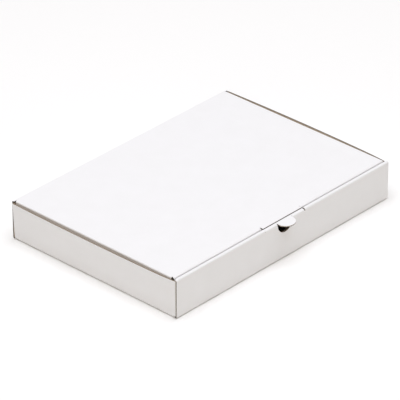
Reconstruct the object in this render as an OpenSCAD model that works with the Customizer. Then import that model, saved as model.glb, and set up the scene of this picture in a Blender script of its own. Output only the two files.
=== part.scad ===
// Corrugated mailer box folded from one sheet, with a rolled-over front wall,
// a thumb tab cut out of that wall and a hinged tuck-in lid with two dust flaps.
// X runs along the front, the front faces -Y and Z is up.
// The origin is the centre of the underside.

/* [Box] */
// Length of the front face, outside
box_l = 350; // [260:1:500]
// Depth from front face to back face, outside
box_w = 250; // [160:1:400]
// Height of the closed box, outside
box_h = 48; // [40:1:120]

/* [Board] */
// Thickness of the corrugated board
board = 1.5; // [1:0.1:2.5]
// Radius left on the inside of every fold
fold_in = 0.3; // [0.1:0.05:0.8]
// Air between the three layers of the rolled front wall
ply_gap = 0.1; // [0.05:0.05:0.4]

/* [Side walls] */
// How far the raw top edge of a side wall lies below the top of the lid
side_drop = 2; // [1.9:0.1:8]
// Length of the ears that turn in behind the front and back walls
ear_l = 78; // [30:1:100]
// How much an ear narrows from its fold to its free end, at top and bottom
ear_taper = 4; // [0:0.5:10]
// Clearance of the ears and of the inner front wall above the bottom
floor_gap = 0.3; // [0.1:0.1:1]

/* [Rolled front wall] */
// Clearance of each end of the inner front wall from the side wall
inner_gap = 0.5; // [0.2:0.1:3]
// Number of lock tabs along the foot of the inner front wall
lock_n = 3; // [2:1:4]
// Distance between neighbouring lock tabs
lock_pitch = 100; // [60:1:120]
// Width of one lock tab
lock_w = 30; // [12:1:45]
// Clearance round a lock tab in its slot
lock_gap = 0.3; // [0.1:0.1:0.8]
// Height of a lock tab's foot above the underside
lock_rise = 0.2; // [0.1:0.1:0.8]

/* [Thumb tab] */
// Length of the strip that is cut free in the middle of the front
strip_l = 64; // [44:1:100]
// How far the strip's fold lies below the fold of the band beside it
strip_drop = 0.8; // [0:0.1:2]
// Slope of the strip and its tab, down towards the lid
strip_tilt = -2; // [-4:1:20]
// Width of the knife cuts at the ends of the strip and in the lid
slit = 0.8; // [0.2:0.1:1]
// Open slot between the strip and the lid's edge
strip_gap = 0.7; // [0.4:0.1:1.5]
// Radius of the thumb tab, and of the hole that it leaves
thumb_r = 11.8; // [8:0.1:16]
// Depth of the window in the inner wall behind the thumb hole, below the lid's top
window_d = 20; // [18:1:28]

/* [Lid] */
// Length of the full-width shoulders beside the lid's fold
shoulder_l = 3; // [2.4:0.2:20]
// Gap between the inner front wall and the tuck flap
tuck_gap = 0.8; // [0.3:0.1:1]
// Depth of the tuck flap below its fold
tuck_d = 34; // [26:1:36]
// Angle by which the tuck flap leans into the box
tuck_lean = 5; // [4:0.5:9]
// Radius of the tuck flap's free corners
tuck_r = 12; // [4:1:20]
// Clearance of the tuck flap's ends from the dust flaps
tuck_end = 0.5; // [0.3:0.1:8]
// Reach of the lid's raw edge past the tuck fold, in the middle
tongue_reach = 0.7; // [0:0.1:0.8]
// Length of the two relief cuts that run back into the lid
relief_l = 4; // [2:0.5:10]

/* [Dust flaps] */
// Gap between a side wall and the dust flap that hangs down inside it
dust_gap = 0.2; // [0.1:0.1:1]
// Depth of the dust flaps below their fold
dust_d = 30; // [20:1:36]
// Step back from the tuck fold to the dust flaps' front ends
dust_front = 2.2; // [1:0.2:20]
// Gap between the lid's shoulders and the dust flaps' back ends
dust_back = 0.8; // [0.4:0.2:20]
// Radius of the dust flaps' free corners
dust_r = 14; // [4:1:18]

/* [Hidden] */
$fn = 64;

half_l = box_l / 2;
half_w = box_w / 2;
// Outside radius of a fold
fold_out = fold_in + board;
// Three layers and the air between them
front_d = 3 * board + 2 * ply_gap;
// Outside face of the ears' folds, measured from the front or back face
ear_at = board + ply_gap;
side_h = box_h - side_drop;
// Height of the fold centres under the lid and the band
fold_z = box_h - fold_out;
strip_z = fold_z - strip_drop;
// Tuck flap's outside face and the centre of its fold
tuck_y = -half_w + front_d + tuck_gap;
tuck_fold_y = tuck_y + fold_out;
tongue_y = tuck_y - tongue_reach;
// Centre line of a dust flap's fold, and its front and back end
dust_x = half_l - board - dust_gap - fold_out;
dust_y0 = tuck_fold_y + dust_front;
dust_y1 = half_w - shoulder_l - dust_back;
// Length of the tuck flap, which ends short of the dust flaps' inner faces
tuck_l = 2 * (dust_x + fold_in - tuck_end);
// Half the angle of the lid's fold belongs to the tray and half to the lid
hinge_split = 45;
// Small overrun of a cutting shape past what it cuts
over = 1;
// Largest step of angle along the round of a fold
fold_step = 6;

// A 2D section that runs along X: its x becomes Y and its y becomes Z
module along_x(length) {
    rotate([90, 0, 90]) linear_extrude(length, center = true) children();
}

// A 2D section that runs along Y from y0 to y1: its x stays X and its y becomes Z
module along_y(y0, y1) {
    translate([0, y1, 0]) rotate([90, 0, 0]) linear_extrude(y1 - y0) children();
}

// Point at radius r and angle a round a fold's centre
function round_at(r, a) = r * [cos(a), sin(a)];

// Section of board bent round the origin from angle a0 to angle a1
module bend(a0, a1) {
    steps = ceil((a1 - a0) / fold_step);
    angles = [for (i = [0:steps]) a0 + (a1 - a0) * i / steps];
    polygon(concat(
        [for (a = angles) round_at(fold_out, a)],
        [for (i = [steps:-1:0]) round_at(fold_in, angles[i])]
    ));
}

// Section of flat board that leaves a bend at angle a and runs on for a length,
// backwards if the length is negative
module run(a, length) {
    ahead = length * [-sin(a), cos(a)];
    polygon([
        round_at(fold_in, a),
        round_at(fold_out, a),
        round_at(fold_out, a) + ahead,
        round_at(fold_in, a) + ahead
    ]);
}

// Both ends of the box, or both of its long sides
module both_ends() {
    children();
    mirror([1, 0, 0]) children();
}

module both_sides() {
    children();
    mirror([0, 1, 0]) children();
}

module bottom_panel() {
    inner_y = -half_w + front_d - board;
    difference() {
        translate([-half_l + fold_out, -half_w + fold_out, 0])
            cube([box_l - 2 * fold_out, box_w - 2 * fold_out, board]);
        for (i = [0:lock_n - 1])
            translate([lock_x(i) - lock_w / 2 - lock_gap, inner_y - lock_gap, -over])
                cube([lock_w + 2 * lock_gap, board + 2 * lock_gap, board + 2 * over]);
    }
}

function lock_x(i) = (i - (lock_n - 1) / 2) * lock_pitch;

// One end of the box: bottom fold, single wall and the ears at its two ends
module side_wall() {
    wall_y0 = -half_w + ear_at + fold_out;
    along_y(wall_y0, -wall_y0) {
        translate([-half_l + fold_out, fold_out]) bend(180, 270);
        translate([-half_l, fold_out]) square([board, side_h - fold_out]);
    }
    both_sides() ear();
}

// Upright fold and the ear that it turns in behind the front wall
module ear() {
    foot = board + floor_gap;
    ear_h = side_h - foot;
    translate([-half_l + fold_out, -half_w + ear_at + fold_out, foot])
        linear_extrude(ear_h) bend(180, 270);
    translate([-half_l + fold_out, -half_w + ear_at + board, foot])
        rotate([90, 0, 0])
            linear_extrude(board)
                polygon([[0, 0], [ear_l, ear_taper], [ear_l, ear_h - ear_taper], [0, ear_h]]);
}

module back_wall() {
    along_x(box_l) {
        translate([half_w - fold_out, fold_out]) bend(270, 360);
        translate([half_w - board, fold_out]) square([board, fold_z - fold_out]);
        translate([half_w - fold_out, fold_z]) bend(0, hinge_split);
    }
}

// Outer wall, the band over its top and the inner wall that comes down again
module rolled_front() {
    band_l = front_d - 2 * fold_out;
    inner_l = box_l - 2 * (board + inner_gap);
    inner_y = -half_w + front_d - board;
    along_x(box_l) {
        translate([-half_w + fold_out, fold_out]) bend(180, 270);
        translate([-half_w, fold_out]) square([board, fold_z - fold_out]);
        translate([-half_w + fold_out, fold_z]) bend(90, 180);
        translate([-half_w + fold_out, box_h - board]) square([band_l, board]);
    }
    along_x(inner_l) {
        translate([-half_w + front_d - fold_out, fold_z]) bend(0, 90);
        translate([inner_y, board + floor_gap]) square([board, fold_z - board - floor_gap]);
    }
    for (i = [0:lock_n - 1])
        translate([lock_x(i) - lock_w / 2, inner_y, lock_rise])
            cube([lock_w, board, board + floor_gap + over - lock_rise]);
}

// What the knife takes out of the rolled front wall in the middle
module thumb_cuts() {
    opening = strip_l + 2 * slit;
    translate([-opening / 2, -half_w - over, strip_z])
        cube([opening, front_d + 2 * over, box_h - strip_z + over]);
    translate([-opening / 2, -half_w + ear_at, box_h - window_d])
        cube([opening, front_d, window_d]);
    translate([0, -half_w + ear_at, strip_z])
        rotate([90, 0, 0]) cylinder(r = thumb_r + slit, h = ear_at + over);
}

// The strip left standing in the cut, bent over the front wall, and the tab that
// stays in its plane where the fold is cut away below it
module thumb_strip() {
    reach = front_d + tuck_gap - tongue_reach - strip_gap;
    strip_w = (reach - fold_out * (1 + sin(strip_tilt))) / cos(strip_tilt);
    slope = 90 - strip_tilt;
    // Length that the fold uses up, which the tab keeps straight
    fold_len = (fold_in + board / 2) * (90 + strip_tilt) * PI / 180;
    tab_l = (fold_len + thumb_r) / cos(strip_tilt);
    bent_l = strip_l / 2 - thumb_r - slit;
    translate([0, -half_w + fold_out, strip_z]) {
        both_ends()
            translate([thumb_r + slit + bent_l / 2, 0, 0]) along_x(bent_l) bend(slope, 180);
        along_x(strip_l) run(slope, -strip_w);
        intersection() {
            along_x(2 * thumb_r) run(slope, tab_l);
            linear_extrude(fold_out + tab_l) {
                translate([-thumb_r, -fold_len]) square([2 * thumb_r, fold_len + fold_out]);
                translate([0, -fold_len]) circle(r = thumb_r);
            }
        }
    }
}

module tray() {
    color("white") {
        bottom_panel();
        both_ends() side_wall();
        back_wall();
        difference() {
            rolled_front();
            thumb_cuts();
        }
        thumb_strip();
    }
}

// Flat outline of the lid between its fold and the tuck fold
module lid_outline() {
    shoulder_y = half_w - shoulder_l;
    both_ends()
        polygon([
            [0, tuck_fold_y],
            [tuck_l / 2, tuck_fold_y],
            [dust_x, dust_y0],
            [dust_x, shoulder_y],
            [half_l, shoulder_y],
            [half_l, half_w - fold_out],
            [0, half_w - fold_out]
        ]);
}

// Outline of a flap that hangs from its fold at 0: its length runs along X, its
// depth d goes down and its two free corners are rounded
module flap_outline(length, d, r) {
    translate([-length / 2, -d + r]) square([length, d - r + fold_out + over]);
    translate([-length / 2 + r, -d]) square([length - 2 * r, d]);
    for (side = [-1, 1])
        translate([side * (length / 2 - r), -d + r]) circle(r = r);
}

// Tuck flap and its fold, which is left out where the lid's raw edge shows
module tuck_flap() {
    lean = 180 + tuck_lean;
    translate([0, tuck_fold_y, fold_z])
        intersection() {
            along_x(tuck_l) {
                bend(90, lean);
                run(lean, tuck_d / cos(tuck_lean));
            }
            translate([0, tuck_d, 0])
                rotate([90, 0, 0])
                    linear_extrude(2 * tuck_d)
                        difference() {
                            flap_outline(tuck_l, tuck_d, tuck_r);
                            translate([-strip_l / 2 - slit, fold_out - window_d])
                                square([strip_l + 2 * slit, window_d + 2 * over]);
                        }
        }
}

// Flap that hangs from one side of the lid, close inside the side wall
module dust_flap() {
    translate([-dust_x, (dust_y0 + dust_y1) / 2, fold_z])
        intersection() {
            along_y(-(dust_y1 - dust_y0) / 2, (dust_y1 - dust_y0) / 2) {
                bend(90, 180);
                run(180, dust_d);
            }
            along_x(4 * fold_out) flap_outline(dust_y1 - dust_y0, dust_d, dust_r);
        }
}

// Raw edge of the lid in the middle, flat to its end between two relief cuts
module lid_panel() {
    cut_y = tongue_y + relief_l;
    translate([0, 0, box_h - board])
        linear_extrude(board)
            difference() {
                union() {
                    lid_outline();
                    translate([-strip_l / 2, tongue_y]) square([strip_l, relief_l + fold_out]);
                }
                for (side = [-1, 1])
                    translate([side * (strip_l + slit) / 2 - slit / 2, tongue_y - over])
                        square([slit, cut_y - tongue_y + over]);
            }
}

module lid() {
    color("white") {
        lid_panel();
        along_x(box_l) translate([half_w - fold_out, fold_z]) bend(hinge_split, 90);
        tuck_flap();
        both_ends() dust_flap();
    }
}

tray();
lid();
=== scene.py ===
# %% [markdown]
# # A corrugated mailer box
# The box is folded from one sheet of corrugated board, white paper outside and brown paper inside.
# Its solids are already exact, so this lesson doesn't model them again. It takes a copy of each solid,
# finds out which faces are the white side, the brown side and the knife-cut edge of the board, lays the
# sheet flat to get a texture map, and then paints the three kinds of face with three materials.
# The work starts with the solids, which come in as objects named after the two halves of the box.

# %% Tools and solids
import math
from collections import deque

import bmesh
import bpy
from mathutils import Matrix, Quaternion, Vector
from mathutils.kdtree import KDTree
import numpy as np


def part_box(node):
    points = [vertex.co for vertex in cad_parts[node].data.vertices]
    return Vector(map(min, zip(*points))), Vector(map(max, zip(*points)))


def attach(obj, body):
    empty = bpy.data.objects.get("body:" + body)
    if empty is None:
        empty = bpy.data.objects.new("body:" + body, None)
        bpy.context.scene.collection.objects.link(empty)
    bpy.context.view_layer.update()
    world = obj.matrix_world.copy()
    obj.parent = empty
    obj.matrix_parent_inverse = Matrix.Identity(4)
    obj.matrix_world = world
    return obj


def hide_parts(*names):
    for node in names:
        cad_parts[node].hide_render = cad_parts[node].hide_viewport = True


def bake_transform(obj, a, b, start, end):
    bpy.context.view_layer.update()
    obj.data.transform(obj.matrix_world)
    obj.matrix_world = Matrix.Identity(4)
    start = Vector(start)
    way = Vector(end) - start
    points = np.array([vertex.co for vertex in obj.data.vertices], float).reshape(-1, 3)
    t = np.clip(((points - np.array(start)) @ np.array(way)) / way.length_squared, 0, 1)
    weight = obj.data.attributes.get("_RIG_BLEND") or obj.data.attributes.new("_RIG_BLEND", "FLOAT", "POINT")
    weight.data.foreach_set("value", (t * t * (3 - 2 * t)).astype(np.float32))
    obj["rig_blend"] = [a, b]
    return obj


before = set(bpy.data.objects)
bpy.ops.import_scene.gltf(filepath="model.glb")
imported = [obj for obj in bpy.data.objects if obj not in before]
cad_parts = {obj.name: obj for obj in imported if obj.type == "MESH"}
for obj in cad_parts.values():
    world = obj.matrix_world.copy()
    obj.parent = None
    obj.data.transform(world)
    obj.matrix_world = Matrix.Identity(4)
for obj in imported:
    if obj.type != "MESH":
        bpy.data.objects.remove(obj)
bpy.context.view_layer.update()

# %% [markdown]
# ## Sizes of the sheet
# Board for small mailers is about a millimetre and a half thick. A fold keeps a tiny radius inside and
# the board's thickness more outside. The outer sizes could be typed in again, but reading them from the
# solids keeps both models alike for good. Where a point's place is compared with a plane, a hair of slack
# takes up the rounding.

# %% Sizes
MM = 0.001
BOARD = 1.5 * MM
FOLD_IN = 0.3 * MM
FOLD_OUT = FOLD_IN + BOARD
FLUTE = 3.2 * MM
HAIR = 0.05 * MM
HALF_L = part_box("tray")[1].x
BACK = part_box("tray")[1].y
FRONT = -BACK
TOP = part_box("lid")[1].z
WALL_TOP = TOP - 2 * MM
print(f"box {2 * HALF_L / MM:.0f} mm long, back at {BACK / MM:.0f} mm, top at {TOP / MM:.0f} mm")

# %% [markdown]
# ## Camera
# The picture is taken from far off with a long lens, so the box's edges run almost parallel.
# A camera can be dragged into place by eye. Here its direction, distance and focal length are numbers
# from fitting the box's straight edges, so the render lies exactly over the picture.

# %% Camera
VIEW_FROM = math.radians(47.142)
VIEW_DOWN = math.radians(30.336)
VIEW_ROLL = math.radians(-0.044)
VIEW_DISTANCE = 4.0959
AIM = Vector((-0.003741, -0.000318, 0.025))
camera = bpy.data.objects.new("camera", bpy.data.cameras.new("camera"))
bpy.context.scene.collection.objects.link(camera)
bpy.context.scene.camera = camera
camera.data.sensor_width = 36
camera.data.lens = 328.7
camera.data.clip_start = 0.1
camera.data.clip_end = 50
back = Vector((
    -math.sin(VIEW_FROM) * math.cos(VIEW_DOWN),
    -math.cos(VIEW_FROM) * math.cos(VIEW_DOWN),
    math.sin(VIEW_DOWN),
))
camera.location = AIM + VIEW_DISTANCE * back
camera.rotation_mode = "QUATERNION"
camera.rotation_quaternion = (-back).to_track_quat("-Z", "Y") @ Quaternion((0, 0, 1), VIEW_ROLL)
print("camera at", [round(c, 3) for c in camera.location])

# %% [markdown]
# ## Materials from nodes
# A material is a small graph. Two helpers keep the graphs short to read: one adds a node and fills or
# links its inputs, the other does a sum on numbers. An input given as a socket is linked, any other
# value is typed in.

# %% Node helpers
def add(tree, kind, inputs=None, **settings):
    """Adds a shader node, sets it up and fills or links its inputs."""
    node = tree.nodes.new("ShaderNode" + kind)
    for name, value in settings.items():
        setattr(node, name, value)
    for name, value in (inputs or {}).items():
        if isinstance(value, bpy.types.NodeSocket):
            tree.links.new(value, node.inputs[name])
        else:
            node.inputs[name].default_value = value
    return node


def calc(tree, operation, *values):
    """The result of a sum on numbers or sockets."""
    return add(tree, "Math", dict(enumerate(values)), operation=operation).outputs[0]


def ramp(tree, factor, stops):
    """A colour for each value of a factor, from stops of (place, red, green, blue)."""
    node = add(tree, "ValToRGB", {"Fac": factor})
    elements = node.color_ramp.elements
    while len(elements) < len(stops):
        elements.new(1)
    for element, (place, *colour) in zip(elements, stops):
        element.position = place
        element.color = (*colour, 1)
    return node.outputs["Color"]


def new_material(name, roughness, specular):
    """A material with its two constant values on the shader itself."""
    material = bpy.data.materials.new(name)
    material.use_nodes = True
    shader = material.node_tree.nodes["Principled BSDF"]
    shader.inputs["Roughness"].default_value = roughness
    shader.inputs["Specular IOR Level"].default_value = specular
    return material, material.node_tree, shader


print("node helpers ready")

# %% [markdown]
# ## The two papers
# Both faces of the board are paper glued on the flutes. Paper has cloudy patches of a few centimetres,
# fibres that lie along the machine's direction, and faint lines where the flutes press through.
# A photograph of paper could be wrapped on, but noise and a sine wave give all three at their real
# scale and never repeat. They read the flat sheet's own map in metres, so lines and fibres run on
# round each fold.

# %% Papers
def paper(name, pale, deep, roughness, specular, fibre_height, flute_height):
    """Material of one side of the sheet, between a pale and a deep colour."""
    material, tree, shader = new_material(name, roughness, specular)
    sheet = add(tree, "UVMap", uv_map="sheet").outputs["UV"]
    clouds = add(tree, "TexNoise", {"Vector": sheet, "Scale": 38, "Detail": 4, "Roughness": 0.6})
    along_fibre = add(tree, "Mapping", {"Vector": sheet, "Scale": (260, 1700, 1)}).outputs[0]
    fibres = add(tree, "TexNoise", {"Vector": along_fibre, "Scale": 1, "Detail": 3, "Roughness": 0.55})
    mixed = calc(tree, "ADD", calc(tree, "MULTIPLY", clouds.outputs["Fac"], 0.55),
                 calc(tree, "MULTIPLY", fibres.outputs["Fac"], 0.45))
    colour = ramp(tree, mixed, [(0.3, *deep), (0.7, *pale)])
    tree.links.new(colour, shader.inputs["Base Color"])
    across = add(tree, "SeparateXYZ", {0: sheet}).outputs["X"]
    ripple = calc(tree, "SINE", calc(tree, "MULTIPLY", across, 2 * math.pi / FLUTE))
    height = calc(tree, "ADD", calc(tree, "MULTIPLY", ripple, flute_height),
                  calc(tree, "MULTIPLY", fibres.outputs["Fac"], fibre_height))
    bump = add(tree, "Bump", {"Strength": 1, "Distance": MM, "Height": height})
    tree.links.new(bump.outputs["Normal"], shader.inputs["Normal"])
    return material


white_paper = paper("white_paper", (0.88, 0.87, 0.875), (0.85, 0.84, 0.84), 0.55, 0.35, 0.004, 0.004)
brown_paper = paper("brown_paper", (0.66, 0.55, 0.43), (0.56, 0.46, 0.35), 0.85, 0.25, 0.012, 0.010)
print("papers:", white_paper.name, brown_paper.name)

# %% [markdown]
# ## The cut edge
# A knife-cut edge shows the section of the board: a white skin, a brown skin and the waved sheet
# between them, with flute hollows whose shade is painted in as a dark colour. Flutes run from front
# to back, so an edge cut across them shows the wave and an edge cut along them shows one long slot.
# Modelling thousands of waves would be slow. Two values per point are enough to draw them: where it
# is on the flat sheet, and how far through the board it is, from 0 on the white side to 1 on the brown
# side. From the box's two ends outwards all edges are cut along a flute, so the wave is left out there
# and the slot is painted dark all along. At the four corners the skins are drawn thinner, which widens
# the slot into painted corner shade. On the left side wall the slot's painted shade is drawn lighter.
# A slow noise makes the flutes wander from their even pitch.

# %% Cut edge
WANDER = 2.5 * MM
CORNER = 4 * MM
# Painted corner shade: how much thinner the skins are drawn at the four corners.
CORNER_SHADE = 0.11
ON_SIDE_WALL = HALF_L + 20 * MM
# How much lighter the slot's painted shade is drawn on the left side wall.
LEFT_SHADE_LIFT = 0.45


def cut_edge():
    """Material of the raw edges, drawn from the sheet's map and the depth through the board."""
    material, tree, shader = new_material("cut_edge", 0.9, 0.2)
    sheet = add(tree, "UVMap", uv_map="sheet").outputs["UV"]
    through = add(tree, "Attribute", attribute_name="through").outputs["Fac"]
    wander = add(tree, "TexNoise", {"Vector": sheet, "Scale": 60, "Detail": 2}).outputs["Fac"]
    across = calc(tree, "ADD", add(tree, "SeparateXYZ", {0: sheet}).outputs["X"],
                  calc(tree, "MULTIPLY", wander, WANDER))
    from_middle = calc(tree, "ABSOLUTE", across)
    wave = calc(tree, "SINE", calc(tree, "MULTIPLY", across, 2 * math.pi / FLUTE))
    middle = calc(tree, "MULTIPLY_ADD", wave, 0.33, 0.5)
    off_wave = calc(tree, "ABSOLUTE", calc(tree, "SUBTRACT", through, middle))
    off_centre = calc(tree, "ABSOLUTE", calc(tree, "SUBTRACT", through, 0.5))
    on_wave = add(tree, "MapRange", {"Value": off_wave, 1: 0.04, 2: 0.16, 3: 1, 4: 0}).outputs[0]
    inside_ends = calc(tree, "LESS_THAN", from_middle, HALF_L - CORNER)
    waved = calc(tree, "MULTIPLY", on_wave, inside_ends)
    # Less painted shade on the left side wall: its slot is drawn lighter there.
    left_lightened = calc(tree, "MULTIPLY", calc(tree, "LESS_THAN", across, -ON_SIDE_WALL), LEFT_SHADE_LIFT)
    near_ends = calc(tree, "COMPARE", from_middle, HALF_L, CORNER)
    # Painted shade at the corners: thinner skins widen the dark slot there.
    corner_shaded = calc(tree, "MULTIPLY_ADD", near_ends, -CORNER_SHADE, off_centre)
    skins = add(tree, "MapRange", {"Value": corner_shaded, 1: 0.30, 2: 0.37, 3: 0, 4: 1}).outputs[0]
    solid = calc(tree, "MAXIMUM", calc(tree, "MAXIMUM", waved, skins), left_lightened)
    papers = ramp(tree, through, [
        (0.0, 0.62, 0.58, 0.54), (0.14, 0.60, 0.55, 0.50), (0.2, 0.40, 0.32, 0.25), (1.0, 0.38, 0.29, 0.21)])
    # Painted shade: the flute hollows between the skins and off the wave get a near-black colour.
    hollow_shade = ramp(tree, solid, [(0.0, 0.12, 0.11, 0.10), (1.0, 1.0, 1.0, 1.0)])
    colour = add(tree, "Mix", {0: 1.0, 6: papers, 7: hollow_shade}, data_type="RGBA", blend_type="MULTIPLY")
    tree.links.new(colour.outputs[2], shader.inputs["Base Color"])
    bump = add(tree, "Bump", {"Strength": 0.6, "Distance": 0.2 * MM, "Height": solid})
    tree.links.new(bump.outputs["Normal"], shader.inputs["Normal"])
    return material


raw_edge = cut_edge()
print("edge:", raw_edge.name)

# %% [markdown]
# ## A clean copy of a solid
# A solid comes in as loose triangles, three points each. Welding the doubles joins them, and a limited
# dissolve turns flat groups of triangles back into whole faces, which are easier to cut and to map.

# %% Copies of the solids
def sheet_copy(node):
    """A welded mesh of a solid, in faces as large as the board's flat panels."""
    mesh = bmesh.new()
    mesh.from_mesh(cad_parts[node].data)
    bmesh.ops.remove_doubles(mesh, verts=mesh.verts[:], dist=1e-6)
    bmesh.ops.dissolve_limit(
        mesh, angle_limit=math.radians(0.5), verts=mesh.verts[:], edges=mesh.edges[:])
    return mesh


tray = sheet_copy("tray")
lid = sheet_copy("lid")
for name, mesh in (("tray", tray), ("lid", lid)):
    open_edges = [e for e in mesh.edges if not e.is_manifold]
    print(name, len(mesh.faces), "faces,", len(open_edges), "open edges")

# %% [markdown]
# ## Room for the fold at the back
# The lid's fold belongs to both halves of the box: it has to bend when the lid opens. So the last
# millimetre before the fold is cut off both copies here, and the fold is made below as a piece of its
# own that bends between them. Bisect cuts and throws away one side in one go, and filling the hole
# closes the copy again.

# %% Trimming both halves
REACH = 1 * MM
WALL_END = TOP - FOLD_OUT - REACH
LID_END = BACK - FOLD_OUT - REACH


def parts_of(faces):
    """Faces with their edges and corners, as the cutting operators want them."""
    edges = {e for f in faces for e in f.edges}
    verts = {v for f in faces for v in f.verts}
    return [*verts, *edges, *faces]


def trim(mesh, faces, point, direction):
    """Cuts faces at a plane, removes what lies beyond it and closes the hole."""
    bmesh.ops.bisect_plane(mesh, geom=parts_of(faces), plane_co=point, plane_no=direction,
                           clear_outer=True)
    rim = [e for e in mesh.edges if e.is_boundary]
    bmesh.ops.holes_fill(mesh, edges=rim, sides=0)
    print("closed with", len(rim), "rim edges, open now:", sum(e.is_boundary for e in mesh.edges))


back_faces = [f for f in tray.faces if min(v.co.y for v in f.verts) > BACK - FOLD_OUT - 2 * HAIR
              and max(v.co.z for v in f.verts) > WALL_TOP + HAIR]
trim(tray, back_faces, (0, 0, WALL_END), (0, 0, 1))
trim(lid, lid.faces[:], (0, LID_END, 0), (0, 1, 0))

# %% [markdown]
# ## A tuck flap that gives way
# The tuck flap is pushed in behind the front wall. Its crease gives a little, so the groove between the
# two is wider than the board was cut for. Moving whole faces keeps them flat: the fold and the top of
# the flap go back by the same amount, and the points below by less, down to none at the flap's end.
# The same push has splayed the fold at both ends. The middle of the lid's front edge isn't folded, so it
# stays where it is, and so do the dust flaps, which start further back.

# %% Wider groove
GIVE = 0.6 * MM
SPLAY = 1.2 * MM
STRIP_HALF = 32 * MM
FLAP_TOP = TOP - FOLD_OUT - 0.3 * MM
FOLD_BACK = FRONT + 7.35 * MM
FLAP_BACK = FRONT + 9.1 * MM
FOLD_SIDE = 171.2 * MM
FLAP_END = min(v.co.z for v in lid.verts if v.co.y < FLAP_BACK)
on_flap = [v for v in lid.verts if abs(v.co.x) > STRIP_HALF + 0.4 * MM and (
    v.co.y < FOLD_BACK or (v.co.y < FLAP_BACK and v.co.z < FLAP_TOP))]
for vert in on_flap:
    vert.co.y += GIVE * min((vert.co.z - FLAP_END) / (FLAP_TOP - FLAP_END), 1)
flap_ends = [v for v in on_flap if abs(v.co.x) > FOLD_SIDE and v.co.z > FLAP_TOP]
for vert in flap_ends:
    vert.co.x += math.copysign(SPLAY, vert.co.x)
print("moved", len(on_flap), "points of the tuck flap, and widened its fold at", len(flap_ends))

# %% [markdown]
# ## Cuts that don't lie evenly
# The thumb strip and the lid's middle edge each have a narrow cut at both ends. A hand has pushed them a
# little to one side, so one cut of each pair is nearly closed and the other is wide enough to look dark.

# %% Shifted strip
SHIFT = 0.35 * MM
STRIP_BACK = FRONT + 4.6 * MM
STRIP_UNDER = TOP - 3.1 * MM
LID_UNDER = TOP - 1.7 * MM


def in_middle(mesh, back_y, under_z):
    """Points between the two cuts, in front of a line and above a height."""
    return [v for v in mesh.verts
            if abs(v.co.x) < STRIP_HALF + 2 * HAIR and v.co.y < back_y and v.co.z > under_z]


strip_points = in_middle(tray, STRIP_BACK, STRIP_UNDER)
edge_points = in_middle(lid, FLAP_BACK, LID_UNDER)
for vert in strip_points:
    vert.co.x -= SHIFT
for vert in edge_points:
    vert.co.x += SHIFT
print("moved", len(strip_points), "points of the strip and", len(edge_points), "of the lid's middle edge")

# %% [markdown]
# ## The fold itself
# The fold is a short piece of wall, a quarter turn and a short piece of lid. It could be a bent plane
# with thickness, but the section is simple to draw with operators: an edge as long as the board is
# thick is extruded upwards, spun a quarter turn about the fold's centre and extruded on, and the
# finished section is swept along the whole box.

# %% Fold
def step_on(mesh, edge, move):
    """Extrudes an edge by a move and returns the new edge."""
    made = bmesh.ops.extrude_edge_only(mesh, edges=[edge])["geom"]
    ends = [v for v in made if isinstance(v, bmesh.types.BMVert)]
    bmesh.ops.translate(mesh, verts=ends, vec=move)
    return mesh.edges.get(ends)


fold = bmesh.new()
outer = fold.verts.new((-HALF_L, BACK, WALL_END))
inner = fold.verts.new((-HALF_L, BACK - BOARD, WALL_END))
rung = fold.edges.new((outer, inner))
STRAIGHT_STEPS = 4
for _ in range(STRAIGHT_STEPS):
    rung = step_on(fold, rung, (0, 0, REACH / STRAIGHT_STEPS))
spun = bmesh.ops.spin(
    fold, geom=[*rung.verts, rung], cent=(-HALF_L, BACK - FOLD_OUT, TOP - FOLD_OUT), axis=(1, 0, 0),
    angle=math.pi / 2, steps=15, use_merge=False)["geom_last"]
rung = next(e for e in spun if isinstance(e, bmesh.types.BMEdge))
for _ in range(STRAIGHT_STEPS):
    rung = step_on(fold, rung, (0, -REACH / STRAIGHT_STEPS, 0))
swept = bmesh.ops.extrude_face_region(fold, geom=fold.faces[:])["geom"]
bmesh.ops.translate(
    fold, verts=[v for v in swept if isinstance(v, bmesh.types.BMVert)], vec=(2 * HALF_L, 0, 0))
bmesh.ops.recalc_face_normals(fold, faces=fold.faces[:])
print("fold:", len(fold.faces), "faces,", sum(not e.is_manifold for e in fold.edges), "open edges")

# %% [markdown]
# ## Which face is which
# A side of the sheet goes on round every fold, but never round a cut edge, where the surface turns by
# a right angle at once. So a flood that starts on one large face and crosses only gentle edges finds
# the whole side. One flood gives the white side and one the brown side. What neither reaches is cut edge.

# %% Sides of the sheet
GENTLE = math.radians(30)


def flood(seed):
    """All faces of the same side of the sheet as the seed."""
    side = {seed}
    waiting = deque([seed])
    while waiting:
        for edge in waiting.popleft().edges:
            for other in edge.link_faces:
                if other not in side and edge.calc_face_angle(math.pi) < GENTLE:
                    side.add(other)
                    waiting.append(other)
    return side


WHITE, BROWN, CUT = 0, 1, 2
PLANES = {
    "tray": (((0, 0, 0), (0, 0, -1)), ((0, 0, BOARD), (0, 0, 1))),
    "lid": (((0, 0, TOP), (0, 0, 1)), ((0, 0, TOP - BOARD), (0, 0, -1))),
    "fold": (((0, BACK, 0), (0, 1, 0)), ((0, BACK - BOARD, 0), (0, -1, 0))),
}


def seed_face(mesh, point, direction):
    """The largest face that lies in a plane and looks in its direction."""
    point, direction = Vector(point), Vector(direction)
    found = [f for f in mesh.faces if f.normal.dot(direction) > 0.999
             and abs((f.calc_center_median() - point).dot(direction)) < HAIR]
    return max(found, key=lambda f: f.calc_area())


def sort_faces(mesh, name):
    """Gives every face the number of its material."""
    for face in mesh.faces:
        face.material_index = CUT
    for number, plane in zip((WHITE, BROWN), PLANES[name]):
        for face in flood(seed_face(mesh, *plane)):
            face.material_index = number
    areas = [sum(f.calc_area() for f in mesh.faces if f.material_index == n) for n in (WHITE, BROWN, CUT)]
    print(name, "white, brown and cut area in cm2:", [round(a * 1e4, 1) for a in areas])


for name, mesh in (("tray", tray), ("lid", lid), ("fold", fold)):
    sort_faces(mesh, name)

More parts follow.
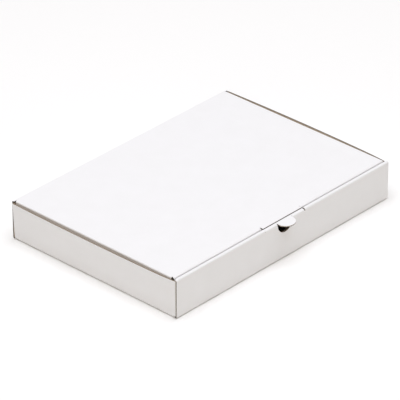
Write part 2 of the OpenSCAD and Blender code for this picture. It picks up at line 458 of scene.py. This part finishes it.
# %% [markdown]
# ## Side walls that lean and bow
# A single wall is held by the fold at its foot only. The front wall grips its front ear, but the back
# ear can slide, so the free top edge leans outwards more at the back, and it bows out in the middle too.
# A wall has to be cut into strips before it can bend. Bisect does that without disturbing its neighbours,
# and then each point moves by an amount that depends on how far along the wall and how far up it is.
# The ears slide sideways with the corners that they hang on. More cuts lie close together at the front,
# because the wall comes back to the front wall's grip within a centimetre or two.

# %% Bowed side walls
LEAN_FRONT = 1.6 * MM
LEAN_BACK = 2.4 * MM
GRIP = 0.9
GRIP_REACH = 9 * MM
BOW_LEFT = 1.3 * MM
BOW_RIGHT = 2.1 * MM
WALL_CORNER = BACK - 3.4 * MM
EAR_FACES = (BACK - 3.15 * MM, BACK - 1.55 * MM)
STRIPS = 12
ROWS = 7
NEAR_FRONT = [d * MM for d in (2.5, 5, 7.5, 13, 16)]


def side_wall_faces():
    """Faces of both side walls with their folds."""
    return [f for f in tray.faces if min(abs(v.co.x) for v in f.verts) > HALF_L - FOLD_OUT - 2 * HAIR
            and max(abs(v.co.y) for v in f.verts) < BACK - BOARD]


def leans(point):
    """True for the points of the side walls and of their ears."""
    on_wall = abs(point.x) > HALF_L - FOLD_OUT - 2 * HAIR and abs(point.y) < EAR_FACES[1]
    on_ear = EAR_FACES[0] < abs(point.y) < EAR_FACES[1]
    return (on_wall or on_ear) and FOLD_OUT < point.z < WALL_TOP + HAIR


def cut_side_walls(point, direction):
    """Cuts both side walls at a plane and keeps both parts."""
    bmesh.ops.bisect_plane(tray, geom=parts_of(side_wall_faces()), plane_co=point, plane_no=direction)


even_cuts = [step / STRIPS * WALL_CORNER for step in range(1 - STRIPS, STRIPS)]
for cut_y in even_cuts + [d - WALL_CORNER for d in NEAR_FRONT]:
    cut_side_walls((0, cut_y, 0), (0, 1, 0))
for step in range(1, ROWS):
    cut_side_walls((0, 0, FOLD_OUT + step / ROWS * (WALL_TOP - FOLD_OUT)), (0, 0, 1))
for vert in [v for v in tray.verts if leans(v.co)]:
    along = min(max((vert.co.y + WALL_CORNER) / (2 * WALL_CORNER), 0), 1)
    up = (vert.co.z - FOLD_OUT) / (WALL_TOP - FOLD_OUT)
    lean = LEAN_FRONT + (LEAN_BACK - LEAN_FRONT) * along
    bow = (BOW_RIGHT if vert.co.x > 0 else BOW_LEFT) * 4 * along * (1 - along)
    held = GRIP * math.exp(-2 * along * WALL_CORNER / GRIP_REACH)
    vert.co.x += math.copysign((lean * up + bow * up ** 1.5) * (1 - held), vert.co.x)
print("side walls in", len(side_wall_faces()), "faces, open edges:", sum(e.is_boundary for e in tray.edges))

# %% [markdown]
# ## The sheet laid flat
# A texture map can be unwrapped in the editor, but a folded sheet has a perfect map already: the flat
# blank it was cut from. Starting with one face, each neighbour is turned about the edge they share
# until it lies in the same plane, and so on over every fold. Lengths stay true, so the map is in metres.
# A cut edge takes the place of the white side beside it.

# %% Flat map
def unfold(layer, seed):
    """Maps one side of the sheet, hinged flat from its seed face."""
    start = seed.loops[0].vert.co.copy()
    right = Vector((1, 0, 0))
    up = seed.normal.cross(right)
    for loop in seed.loops:
        way = loop.vert.co - start
        loop[layer].uv = (start.x + way.dot(right), way.dot(up))
    done = {seed}
    waiting = deque([seed])
    while waiting:
        face = waiting.popleft()
        for loop in face.loops:
            partner = loop.link_loop_radial_next
            other = partner.face
            if other in done or other.material_index != face.material_index:
                continue
            origin = loop[layer].uv.copy()
            flat = (loop.link_loop_next[layer].uv - origin).normalized()
            right = (loop.link_loop_next.vert.co - loop.vert.co).normalized()
            up = other.normal.cross(right)
            for near in other.loops:
                way = near.vert.co - loop.vert.co
                a, b = way.dot(right), way.dot(up)
                near[layer].uv = (origin.x + a * flat.x - b * flat.y, origin.y + a * flat.y + b * flat.x)
            done.add(other)
            waiting.append(other)
    return len(done)


def map_edges(mesh, layer, depth):
    """Gives cut faces the map of the nearest white point, and every point its depth through the board."""
    white = {}
    for face in mesh.faces:
        if face.material_index == WHITE:
            for loop in face.loops:
                white[loop.vert] = loop[layer].uv.copy()
    brown = {v for f in mesh.faces if f.material_index == BROWN for v in f.verts}
    rim = [v for v in white if any(f.material_index == CUT for f in v.link_faces)]
    tree = KDTree(len(rim))
    for number, vert in enumerate(rim):
        tree.insert(vert.co, number)
    tree.balance()
    for vert in mesh.verts:
        vert[depth] = 1.0 if vert in brown else 0.0
    for face in mesh.faces:
        if face.material_index == CUT:
            for loop in face.loops:
                vert = loop.vert if loop.vert in white else rim[tree.find(loop.vert.co)[1]]
                loop[layer].uv = white[vert]


def lay_flat(mesh, name):
    """Adds the flat map and the depth to a piece."""
    layer = mesh.loops.layers.uv.new("sheet")
    depth = mesh.verts.layers.float.new("through")
    for plane in PLANES[name]:
        print(name, "unfolded", unfold(layer, seed_face(mesh, *plane)), "faces")
    map_edges(mesh, layer, depth)


for name, mesh in (("tray", tray), ("lid", lid), ("fold", fold)):
    lay_flat(mesh, name)

# %% [markdown]
# ## The lighter rim of the tab
# The tab's cut rim is drawn lighter. Less depth through the board at the rim's lower side makes the
# white skin there look thicker and leaves less of the dark slot.

# %% Lighter rim
RIM_DEPTH = 0.3
through = tray.verts.layers.float["through"]
rim_points = [v for v in tray.verts if v.co.y < FRONT - 0.2 * MM and v[through] > 0.5]
for vert in rim_points:
    # The tab's rim is drawn with more white skin and less dark slot.
    vert[through] = RIM_DEPTH
print("squeezed", len(rim_points), "points under the tab's rim")

# %% [markdown]
# ## Into objects
# Each mesh becomes an object with the three materials. Faces are shaded smooth so that folds look
# round, but an edge between a side and a cut stays sharp. The weighted normal modifier lets the large
# flat faces rule, or the shade of a fold would creep far into the panels beside it. The tray and the
# lid ride on their halves of the box. The fold rides on both: points near the wall stay, points near the
# lid go with it, and the rest turn part of the way.

# %% Objects
def make_object(mesh, name):
    """An object of a finished sheet piece."""
    for face in mesh.faces:
        face.smooth = True
    for edge in mesh.edges:
        kinds = {f.material_index for f in edge.link_faces}
        edge.smooth = len(kinds) == 1 and edge.calc_face_angle(math.pi) < GENTLE
    data = bpy.data.meshes.new(name)
    mesh.to_mesh(data)
    mesh.free()
    for material in (white_paper, brown_paper, raw_edge):
        data.materials.append(material)
    piece = bpy.data.objects.new(name, data)
    bpy.context.scene.collection.objects.link(piece)
    normals = piece.modifiers.new("flat panels rule", "WEIGHTED_NORMAL")
    normals.keep_sharp = True
    print(name, len(data.polygons), "faces")
    return piece


tray_sheet = make_object(tray, "tray_sheet")
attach(tray_sheet, "tray")
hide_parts("tray")

lid_sheet = make_object(lid, "lid_sheet")
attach(lid_sheet, "lid")
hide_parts("lid")

back_fold = make_object(fold, "back_fold")
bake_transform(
    back_fold, "tray", "lid",
    start=(0, BACK - BOARD, WALL_END), end=(0, LID_END, TOP - BOARD))

# %% [markdown]
# ## Floor
# A white box on a white ground shows only by its shades. The ground is one large square, nearly white
# and a little warm, and it throws light back on the walls. An empty box stands on a few high spots of
# its bottom and its folds don't quite touch the table. The floor lies lower for that, which leaves a thin
# dark gap under the walls.

# %% Floor
FLOOR_GAP = 0.7 * MM
floor_material, floor_tree, floor_shader = new_material("floor_white", 0.9, 0.1)
grain = add(floor_tree, "TexNoise", {"Scale": 3.0, "Detail": 2})
floor_colour = ramp(floor_tree, grain.outputs["Fac"], [
    (0.3, 0.975, 0.967, 0.952), (0.7, 0.985, 0.977, 0.962)])
floor_tree.links.new(floor_colour, floor_shader.inputs["Base Color"])
ground = bmesh.new()
bmesh.ops.create_grid(ground, x_segments=1, y_segments=1, size=6)
floor_data = bpy.data.meshes.new("floor")
ground.to_mesh(floor_data)
ground.free()
floor = bpy.data.objects.new("floor", floor_data)
floor_data.materials.append(floor_material)
floor.location.z = -FLOOR_GAP
bpy.context.scene.collection.objects.link(floor)
print("floor laid", FLOOR_GAP / MM, "mm below the bottom's plane")

# %% [markdown]
# ## Surround
# In a white room light comes from all sides, and what the room throws back is a little warm. The world
# gives this fill. Rays from the camera, and rays through glass or off a mirror, see plain white. All
# other rays find a weaker colour, so the surround doesn't burn out the paper.

# %% Surround
SURROUND = (0.273, 0.243, 0.195, 1)
world = bpy.data.worlds.new("surround")
bpy.context.scene.world = world
world.use_nodes = True
sky = world.node_tree
seen = add(sky, "LightPath")
direct = calc(sky, "MAXIMUM", seen.outputs["Is Camera Ray"], seen.outputs["Is Transmission Ray"])
white = calc(sky, "MAXIMUM", direct, seen.outputs["Is Glossy Ray"])
colour = add(sky, "Mix", {0: white, 6: SURROUND, 7: (1, 1, 1, 1)}, data_type="RGBA").outputs[2]
sky.links.new(colour, sky.nodes["Background"].inputs["Color"])
print("surround lights with", SURROUND[:3])

# %% [markdown]
# ## Lamps
# A wide, slightly cool lamp overhead makes the top the lightest face and keeps the shadow at the foot
# soft and short. A small warm one at the front left evens out the two walls that show. A sun lamp would
# be simpler, but its shadow has a hard edge.

# %% Lamps
def softbox(name, place, aim, size, watts, colour):
    """A square area lamp that looks at a point."""
    data = bpy.data.lights.new(name, "AREA")
    data.size = size
    data.energy = watts
    data.color = colour
    lamp = bpy.data.objects.new(name, data)
    lamp.location = place
    lamp.rotation_mode = "QUATERNION"
    lamp.rotation_quaternion = (Vector(aim) - Vector(place)).to_track_quat("-Z", "Y")
    bpy.context.scene.collection.objects.link(lamp)
    return lamp


softbox("overhead", (-0.15, -0.12, 3.0), (0, 0, 0), 3.45, 109, (0.88, 0.915, 1.0))
softbox("front_left", (-2.2, -1.9, 1.3), (0, 0, 0), 1.8, 8.5, (1.0, 0.92, 0.76))

# %% [markdown]
# ## View
# The plain Standard view shows each colour about as it is written.

# %% View
bpy.context.scene.view_settings.view_transform = "Standard"
